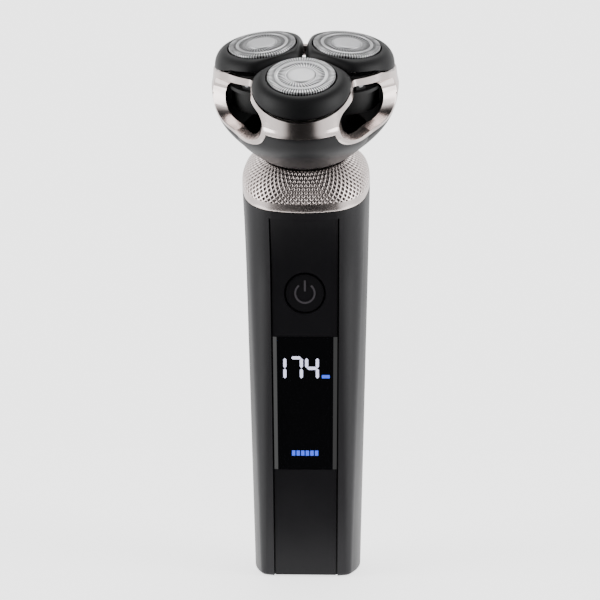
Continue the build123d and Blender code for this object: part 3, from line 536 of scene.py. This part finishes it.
# reach, level, and 1 where the outline is the rounded square or 0 where it is the round neck
band_profile = (
    (NECK_RADIUS, 0.0, 0),
    (TOP_HALF - 0.5 * MM, 0.0, 1),
    (TOP_HALF - 0.15 * MM, 0.08 * MM, 1),
    (TOP_HALF, 0.45 * MM, 1),
    (TOP_HALF - 0.03 * MM, 1.7 * MM, 1),
    (TOP_HALF - 0.1 * MM, 2.9 * MM, 1),
)
band_rings = []
for reach, level, squared in band_profile:
    radius = squircle_reach(around, reach, FULL_SQUARE) if squared else np.full_like(around, reach)
    band_rings.append(head.points(radius, around, np.full_like(around, level)))
top_rings = [
    head.points(np.full_like(around, reach), around, np.full_like(around, COLLAR_TALL))
    for reach in (COLLAR_TOP - 0.4 * MM, NECK_RADIUS)
]
collar_rings = np.concatenate(
    [np.stack(band_rings), dome_rings, np.stack(top_rings), band_rings[0][None]]
)
# Painted shade for the pits: 1 in the sunk diamonds, 0 on the band and the top.
collar_painted_shade = np.concatenate(
    [np.zeros((len(band_rings), len(around))), sunk, np.zeros((3, len(around)))]
)
collar = ring_mesh(
    "collar_knurled", collar_rings, knurl_metal, "handle", shade=collar_painted_shade
)
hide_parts("knurled_ring")

# %% [markdown]
# A foil is a thin steel cap. An outer ring of fine slots and an inner ring of slanted slots are cut
# into it, with a smooth step between them, and a satin cap covers the middle. The slots are real
# dents in the surface, painted near black at the bottom and on the bar edges beside them as painted
# shade.

# %% Slotted foils
OUTER_SLOTS = 76
INNER_SLOTS = 44
SLOT_DEPTH = 0.28 * MM
# profile rows: radius and height in millimetres, and slot family: 0 none, 1 inner, 2 outer
FOIL_ROWS = (
    (10.25, -4.4, 0), (11.6, -4.4, 0), (11.6, -3.5, 0), (10.8, -3.5, 0), (10.8, -1.2, 0),
    (10.8, -1.18, 2), (10.8, -0.5, 2), (10.7, -0.16, 2), (10.5, -0.03, 2), (10.2, 0.0, 2),
    (9.6, 0.02, 2), (9.0, 0.02, 2), (8.42, 0.0, 2), (8.40, 0.0, 0), (8.26, 0.0, 0),
    (8.2, 0.05, 0), (7.95, 0.06, 0), (7.88, -0.2, 0), (7.72, -0.22, 0), (7.66, 0.0, 0),
    (7.5, 0.0, 0), (7.48, 0.0, 1), (6.6, 0.0, 1), (5.9, 0.0, 1), (4.92, 0.0, 1),
    (4.90, 0.0, 0), (4.72, 0.0, 0), (4.6, -0.1, 0), (4.52, -0.45, 0),
)
CAP_ROWS = (
    (4.52, -0.45), (4.5, 0.02), (4.38, 0.18), (4.15, 0.25), (3.0, 0.26), (1.5, 0.26), (0.5, 0.255)
)
SLOT_SHARE = 0.50  # share of a slot and a bar that is cut away
BRIGHT_SHARE = 0.62  # share painted dark as slot shade where the bars are bright
DULL_SHARE = 0.86  # share painted dark as slot shade in the duller rings
DULL_FROM = 6.3
DULL_TO = 9.5


def slot_mask(angle, count, wide):
    """1 inside a slot and 0 on the bar between two, with steep walls; wide is the slot's share."""
    away = np.abs((angle * count / (2 * np.pi)) % 1.0 - 0.5) * 2
    return np.clip((wide - away) / 0.1, 0, 1)


def foil_piece(number, lobe_angle):
    """One foil and its cap, built round its pod's own axis."""
    middle = joints[f"cutter_{number}_spin"]["pos_m"]
    upward = joints[f"foil_{number}_float"]["axis"]
    outward = math.cos(lobe_angle) * head.x + math.sin(lobe_angle) * head.y
    stand = Stand(middle, outward, upward)
    turn = np.linspace(0, 2 * np.pi, 900, endpoint=False)
    rows = np.array(FOIL_ROWS)
    radius = rows[:, 0:1] * MM
    slant = np.where(rows[:, 2:3] == 1, (rows[:, 0:1] - 5.2) * 0.045, 0.0)
    inner = rows[:, 2:3] == 1
    outer = rows[:, 2:3] == 2
    cut = slot_mask(turn, INNER_SLOTS, SLOT_SHARE)[None] * inner
    cut = cut + slot_mask(turn, OUTER_SLOTS, SLOT_SHARE)[None] * outer
    # Painted shade: the dark share is wider than the cut, so the edges of the bars next to a slot are
    # painted dark too, and more so in the duller rings.
    dull = (rows[:, 0:1] > DULL_FROM) & (rows[:, 0:1] < DULL_TO)
    looks_cut = np.where(dull, DULL_SHARE, BRIGHT_SHARE)
    painted_slot_shade = slot_mask(turn[None], INNER_SLOTS, looks_cut) * inner
    painted_slot_shade = painted_slot_shade + slot_mask(turn[None], OUTER_SLOTS, looks_cut) * outer
    rings = stand.points(radius, turn[None] + slant, rows[:, 1:2] * MM - SLOT_DEPTH * cut)
    under = stand.points(np.array([[4.52], [10.25]]) * MM, turn[None], np.array([[-0.5], [-0.6]]) * MM)
    rings = np.concatenate([rings, under, rings[:1]])
    shade = np.concatenate([painted_slot_shade, np.zeros((3, len(turn)))])
    piece = ring_mesh(
        f"foil_slotted_{number}", rings, foil_steel, f"foil_{number}", shade=shade
    )
    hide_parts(f"foil_{number}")
    turn = np.linspace(0, 2 * np.pi, 96, endpoint=False)
    rows = np.array(CAP_ROWS)
    rings = stand.points(rows[:, 0:1] * MM, turn[None], rows[:, 1:2] * MM)
    cap = ring_mesh(
        f"foil_centre_{number}", rings, cap_satin, f"foil_{number}",
        first_pole=stand.origin - 0.45 * MM * stand.z, last_pole=stand.origin + 0.255 * MM * stand.z,
    )
    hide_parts(f"foil_cap_{number}")


cap_satin, place, shader = finish("cap_satin", (0.72, 0.72, 0.73), 0.42, metallic=1.0)
feed(
    shader,
    Roughness=0.36 + noise(place, 900) * 0.12,
    Base_Color=two_tone(noise(place, 300), (0.46, 0.46, 0.47), (0.56, 0.56, 0.57)),
)

LOBE_ANGLES = [math.radians(angle) for angle in (-90, 30, 150)]
for number, lobe_angle in enumerate(LOBE_ANGLES, 1):
    foil_piece(number, lobe_angle)

# %% [markdown]
# The head is three round lobes that grow together. Seen from the head's axis, its wall is a distance
# that depends on the direction and the level: each level has three equal circles, and the wall is the
# outermost of them. The bright frame, the window funnels and the pods are all drawn from that wall.

# %% The head's wall
# level, offset of a lobe's circle, radius of the circle, in millimetres
STATIONS = np.array(
    [
        (12.2, 0, 13.6),
        (16, 1.5, 18),
        (20, 4, 20.7),
        (24, 7.2, 21.5),
        (28, 11, 19.9),
        (31.5, 14.4, 17.7),
        (34, 15.5, 16.5),
    ]
)
HIGH_STATION = (47.0, 15.3, 15.2)
SEAM_TILT = math.tan(math.radians(19))
SEAM_REACH = 31.3
SEAM_LEVEL = 37.4
FIT_LEVEL = 24
TOP_LEVEL = 34.0
LOBE_HALF = math.radians(60)  # from a lobe's direction to the middle of a window
fit_offset = np.polyfit(STATIONS[:, 0] - FIT_LEVEL, STATIONS[:, 1], 6)
fit_radius = np.polyfit(STATIONS[:, 0] - FIT_LEVEL, STATIONS[:, 2], 6)


def wall_reach(from_lobe, level):
    """Distance in mm from the axis to the wall, at an angle from the nearest lobe and a level in mm.

    A circle of radius R whose centre is d away is met at d cos a + sqrt(R^2 - d^2 sin^2 a).
    """
    low = np.minimum(level, TOP_LEVEL) - FIT_LEVEL
    above = np.clip((level - TOP_LEVEL) / (HIGH_STATION[0] - TOP_LEVEL), 0, 1)
    offset = np.polyval(fit_offset, low) + above * (HIGH_STATION[1] - STATIONS[-1, 1])
    radius = np.polyval(fit_radius, low) + above * (HIGH_STATION[2] - STATIONS[-1, 2])
    return offset * np.cos(from_lobe) + np.sqrt(radius**2 - (offset * np.sin(from_lobe)) ** 2)


def seam_level(from_lobe):
    """Level of the seam under a pod: a plane that rises towards the head's axis, met with the wall."""
    level = np.full_like(from_lobe, SEAM_LEVEL)
    for _ in range(12):
        level = SEAM_LEVEL + SEAM_TILT * (SEAM_REACH - wall_reach(from_lobe, level) * np.cos(from_lobe))
    return level


print("seam between lobes at", round(float(seam_level(np.array([LOBE_HALF]))[0]), 2), "mm")

# %% [markdown]
# The bright frame is one casting: a band under each pod, and round each window a lip from which the
# metal slopes inwards like a funnel. Each window gets a ring of points: the outer edge on the wall,
# the lip, the funnel's inner edge, and back along the inside of the wall. All edges are closed
# outlines read by their angle about the window's middle.

# %% Bright frame with funnels
WINDOW_MIDDLE = 33.5
WALL_MM = 1.6
FUNNEL_DEEP = 3.4
MM_PER_RADIAN = 24.2
CREASE = 0.10
PROUD = 0.14
RIM_TOP = 31.8
LOBE_SIDE = 25.34
FRAME_TOP = 41.4
SURFACE_SUNK = 0.06
LIP_SUNK = 0.12
SURFACE_SHARES = (0.0, 0.01, 0.05, 0.1, 0.2, 0.3, 0.4, 0.5, 0.6, 0.7, 0.8, 0.92, 0.98)
FUNNEL_SHARES = (0.0, 0.06, 0.14, 0.3, 0.5, 0.7, 0.88, 0.97)
WINDOW_ANGLES = [math.radians(angle) for angle in (-30, 90, 210)]


def outline_reach(half_outline, turn):
    """Distance from the window's middle to a mirrored outline (sideways, level in mm), at each angle."""
    half = np.array(half_outline, float)
    share = np.linspace(0, len(half) - 1, (len(half) - 1) * 8 + 1)
    across = np.interp(share, np.arange(len(half)), half[:, 0])
    level = np.interp(share, np.arange(len(half)), half[:, 1]) - WINDOW_MIDDLE
    angle = np.arctan2(level, across)
    reach = np.hypot(across, level)
    order = np.argsort(angle)
    folded = np.arctan2(np.sin(turn), np.abs(np.cos(turn)))
    return np.interp(folded, angle[order], reach[order])


def softened(half_outline, rounds=3):
    """The outline with its corners cut again and again, which rounds them (Chaikin's way)."""
    points = np.array(half_outline, float)
    for _ in range(rounds):
        near = points[:-1] * 0.75 + points[1:] * 0.25
        far = points[:-1] * 0.25 + points[1:] * 0.75
        inner = np.stack([near, far], axis=1).reshape(-1, 2)
        points = np.concatenate([points[:1], inner, points[-1:]])
    return points


seam_angles = np.linspace(LOBE_HALF, 0, 40)
seam_side = seam_angles * MM_PER_RADIAN
seam_high = np.minimum(seam_level(LOBE_HALF - seam_angles), FRAME_TOP)
# half outlines: how far sideways from the window's middle, and at which level, in millimetres
rim_half = softened([(0, 24.4), (9.2, 25.3), (14.4, 27.3), (16.4, 31.0), (16.4, RIM_TOP)])
outer_half = np.concatenate([rim_half, [(LOBE_SIDE, RIM_TOP)], np.stack([seam_side, seam_high], axis=1)])
lip_half = softened(
    [(0, 25.5), (8.6, 26.3), (13.4, 28.6), (15.2, 32.0), (15.2, 35.6), (12.5, 38.7), (0, 39.3)]
)
inner_half = softened(
    [(0, 26.3), (8.2, 26.9), (12.0, 29.3), (13.0, 32.4), (13.0, 35.6), (9.5, 38.2), (0, 38.6)]
)
corner_levels = np.array([RIM_TOP, seam_high[0], seam_high[-1]])
corners = np.arctan2(corner_levels - WINDOW_MIDDLE, [LOBE_SIDE, seam_side[0], LOBE_SIDE])
turn = np.linspace(-np.pi, np.pi, 720, endpoint=False)
turn = np.unique(np.concatenate([turn, corners, np.pi - corners[1:], -np.pi - corners[:1]]))
outer_reach = outline_reach(outer_half, turn)
lip_reach = outline_reach(lip_half, turn)
inner_reach = outline_reach(inner_half, turn)


def on_wall(window_angle, reach, sunk):
    """Points round the window, at a reach from its middle and sunk under the wall, both in mm.

    The crease of the wall between two lobes is rounded: sqrt(across^2 + crease^2) stands for across.
    """
    across = reach * np.cos(turn) / MM_PER_RADIAN
    level = WINDOW_MIDDLE + reach * np.sin(turn)
    smooth_across = np.sqrt(across**2 + CREASE**2)
    proud = PROUD * np.clip((RIM_TOP - level) / 2, 0, 1)
    distance = wall_reach(LOBE_HALF - smooth_across, level) - sunk + proud
    return head.points(distance * MM, window_angle + across, level * MM)


def frame_piece(number, window_angle):
    """Bright frame round one window, with half of each neighbouring band."""
    rows = [on_wall(window_angle, outer_reach, WALL_MM)]
    for share in SURFACE_SHARES:
        reach = outer_reach + (lip_reach - outer_reach) * share
        rows.append(on_wall(window_angle, reach, SURFACE_SUNK))
    lip = on_wall(window_angle, lip_reach, LIP_SUNK)
    inner = on_wall(window_angle, inner_reach, FUNNEL_DEEP)
    for share in FUNNEL_SHARES:
        rows.append(lip + (inner - lip) * share)
    rows.append(inner)
    rows.append(on_wall(window_angle, inner_reach + 0.5, FUNNEL_DEEP + 0.5))
    rows.append(on_wall(window_angle, (inner_reach + outer_reach) / 2, FUNNEL_DEEP + 0.3))
    rows.append(rows[0])
    return ring_mesh(f"frame_{number}", np.stack(rows), champagne, "head")


frame_pieces = [frame_piece(number, angle) for number, angle in enumerate(WINDOW_ANGLES, 1)]
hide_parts("trim_frame")

# %% [markdown]
# Each pod is a black dome that starts flush with the band and rolls over to the mouth round the foil.
# Its profile is a slightly squared quarter ellipse, cut off at the sloping seam. The slits between
# neighbouring pods flatten its inner sides, and an even blend rounds the change.

# %% Pods
POD_FOOT = 16.35
POD_MOUTH = 11.2
MOUTH_DROP = 0.72
MOUTH_DEEP = -3.0
MOUTH_EDGE = -1.0
MOUTH_LIP = 0.12
SHORT_FOOT = -3.4  # the shallowest foot, in mm under the foil's face
SKIRT = 1.0
BORE = 12.0
BORE_LEVEL = -3.2
SLIT_TURN = 150  # degrees from the pod's outward direction to the slit's normal
SLIT_FROM = 108  # degrees from there where the foot begins to follow the slit
SLIT_BLEND = 10
SEAM_GAP = 0.7
SLIT = 0.7
FULLNESS = 0.85
DOME_TALL = 6.5
SLIT_FOOT = -4.4
FRONT_TUCK = 0.48
BLEND = 1.2


def pod_piece(number, lobe_angle):
    """Black dome of one pod, round its own axis."""
    outward = math.cos(lobe_angle) * head.x + math.sin(lobe_angle) * head.y
    middle = joints[f"cutter_{number}_spin"]["pos_m"]
    stand = Stand(middle, outward, joints[f"foil_{number}_float"]["axis"])
    around = np.linspace(0, 2 * np.pi, 360, endpoint=False)
    flat = np.cos(around)[:, None] * stand.x + np.sin(around)[:, None] * stand.y
    seam_normal = unit(head.z + SEAM_TILT * outward)
    seam_point = head.origin + (SEAM_REACH * outward + SEAM_LEVEL * head.z + SEAM_GAP * seam_normal) * MM
    reach = POD_FOOT - FRONT_TUCK * np.clip(np.cos(around), 0, 1) ** 2
    for side in (-1, 1):
        away = lobe_angle + math.radians(SLIT_TURN * side)
        normal = math.cos(away) * head.x + math.sin(away) * head.y
        clear = np.dot(head.origin - stand.origin, normal) / MM - SLIT
        cut = clear / np.maximum(flat @ normal, 0.05)
        reach = -np.log(np.exp(-BLEND * reach) + np.exp(-BLEND * cut)) / BLEND
    to_seam = (seam_point - stand.origin) @ seam_normal / MM
    seam = (to_seam - reach * (flat @ seam_normal)) / (stand.z @ seam_normal)
    from_front = np.degrees(np.abs((around + np.pi) % (2 * np.pi) - np.pi))
    inward = np.clip((from_front - SLIT_FROM) / SLIT_BLEND, 0, 1)
    foot = np.minimum(seam, SHORT_FOOT) * (1 - inward) + SLIT_FOOT * inward
    end = np.arccos((1 - np.clip((-foot - MOUTH_DROP) / DOME_TALL, 0, 1)) ** (1 / FULLNESS))
    rings = [stand.points(POD_MOUTH * MM, around, level * MM) for level in (MOUTH_DEEP, MOUTH_EDGE)]
    for share in np.linspace(0.0, 1.0, 24):
        lean = share * end
        radius = POD_MOUTH + (reach - POD_MOUTH) * np.sin(lean) ** FULLNESS + MOUTH_LIP * (share == 0)
        level = -DOME_TALL * (1 - np.cos(lean) ** FULLNESS) - MOUTH_DROP
        rings.append(stand.points(radius * MM, around, level * MM))
    foot = np.minimum(foot, level)
    rings.append(stand.points(radius * MM, around, foot * MM))
    rings.append(stand.points((radius - SKIRT) * MM, around, foot * MM))
    rings.append(stand.points(np.minimum(radius - 1.2, BORE) * MM, around, BORE_LEVEL * MM))
    rings.append(rings[0])
    piece = ring_mesh(
        f"pod_dome_{number}", np.stack(rings), pod_black, f"pod_{number}"
    )
    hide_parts(f"pod_{number}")


for number, angle in enumerate(LOBE_ANGLES, 1):
    pod_piece(number, angle)

# %% [markdown]
# The display shows three lit digits, a short blue bar and a row of blue battery cells. They are thin
# plates that lie on the lens, so they stay crisp from every side.

# %% Lit digits
STRIP_BASE_HALF = 10.4 * MM
SPINE_LONG = 129.72 * MM
PLATE_LIFT = 0.03 * MM
PLATE_DEEP = 0.2 * MM


def lens_front(height):
    """How far towards -Y the lens's face lies at a height: the handle widens evenly upwards."""
    half = 17.5 * MM + 3.3 * MM * height / SPINE_LONG
    strip = STRIP_BASE_HALF + 1.0 * MM * height / SPINE_LONG
    return -(half - strip**2 / (4 * half) - 0.45 * MM) - 0.1 * MM


def plates(name, outlines, material, front=lens_front, body="handle"):
    """Thin plates with the given outlines (x, z in millimetres), on a face that front() gives."""
    points = []
    faces = []
    for outline in outlines:
        flat = np.array(outline, float) * MM
        first = len(points)
        count = len(flat)
        face_y = front(flat[:, 1])
        points += np.stack([flat[:, 0], face_y - PLATE_LIFT, flat[:, 1]], axis=1).tolist()
        points += np.stack([flat[:, 0], face_y + PLATE_DEEP, flat[:, 1]], axis=1).tolist()
        faces.append([first + k for k in range(count)])
        faces.append([first + count + k for k in reversed(range(count))])
        for k in range(count):
            n = (k + 1) % count
            faces.append([first + k, first + count + k, first + count + n, first + n])
    mesh = bpy.data.meshes.new(name)
    mesh.from_pydata(points, [], faces)
    mesh.materials.append(material)
    piece = bpy.data.objects.new(name, mesh)
    bpy.context.scene.collection.objects.link(piece)
    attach(piece, body)
    print(name, len(mesh.polygons), "faces")
    return piece


def segment(x0, z0, x1, z1, wide=1.0):
    """Outline of a seven-segment bar with pointed ends, from one end to the other."""
    along = unit((x1 - x0, z1 - z0))
    side = np.array([-along[1], along[0]]) * wide / 2
    start = np.array([x0, z0]) + along * 0.08
    end = np.array([x1, z1]) - along * 0.08
    tip = along * wide / 2
    return [start, start + tip - side, end - tip - side, end, end - tip + side, start + tip + side]


SEGMENTS = {"1": "bc", "7": "abc", "4": "bcfg"}
DIGIT_TOP = 73.1
DIGIT_LOW = 66.2


def digit(number, left, right):
    """The bars of one digit, lettered a to g as on every seven-segment display."""
    mid = (DIGIT_TOP + DIGIT_LOW) / 2
    bars = {
        "a": (left, DIGIT_TOP, right, DIGIT_TOP),
        "b": (right, DIGIT_TOP, right, mid),
        "c": (right, mid, right, DIGIT_LOW),
        "d": (left, DIGIT_LOW, right, DIGIT_LOW),
        "e": (left, DIGIT_LOW, left, mid),
        "f": (left, mid, left, DIGIT_TOP),
        "g": (left, mid, right, mid),
    }
    return [segment(*bars[letter]) for letter in SEGMENTS[number]]


bright_bars = digit("1", -9.0, -6.6) + digit("7", -4.6, -1.2) + digit("4", 0.5, 4.0)
plates("lit_digits", bright_bars, digit_glow)


def block(left, low, right, high):
    """Outline of a rectangle, anticlockwise seen from the front."""
    return [(left, low), (right, low), (right, high), (left, high)]


CELL_STEP = 1.5
blue_bars = [block(5.45, 66.35, 8.0, 67.45)]
blue_bars += [block(-4.4 + CELL_STEP * k, 40.6, -3.3 + CELL_STEP * k, 42.3) for k in range(6)]
plates("lit_blue_bars", blue_bars, blue_glow)

# %% [markdown]
# The switch carries the usual stand-by mark: an open ring and a short bar, printed a shade lighter.

# %% Stand-by mark
BUTTON_HEIGHT = 94.3
BUTTON_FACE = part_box("power_button")[0].y


def button_face(height):
    """The button's front is flat."""
    return np.full_like(height, BUTTON_FACE)


def ring_part(start, end, inner, outer):
    """Outline of a piece of a ring between two angles, in degrees from straight up."""
    lean = np.radians(np.linspace(start, end, 5))
    out = np.stack([outer * np.sin(lean), BUTTON_HEIGHT + outer * np.cos(lean)], axis=1)
    back_in = np.stack([inner * np.sin(lean[::-1]), BUTTON_HEIGHT + inner * np.cos(lean[::-1])], axis=1)
    return np.concatenate([out, back_in])


MARK_INNER = 2.85
MARK_OUTER = 3.45
BAR_HALF = 0.32
ring_starts = np.arange(38, 322, 15.8)
mark = [ring_part(start, start + 16.1, MARK_INNER, MARK_OUTER) for start in ring_starts]
mark.append(block(-BAR_HALF, BUTTON_HEIGHT + 0.6, BAR_HALF, BUTTON_HEIGHT + 4.2))
plates("standby_mark", mark, mark_grey, front=button_face, body="power_button")
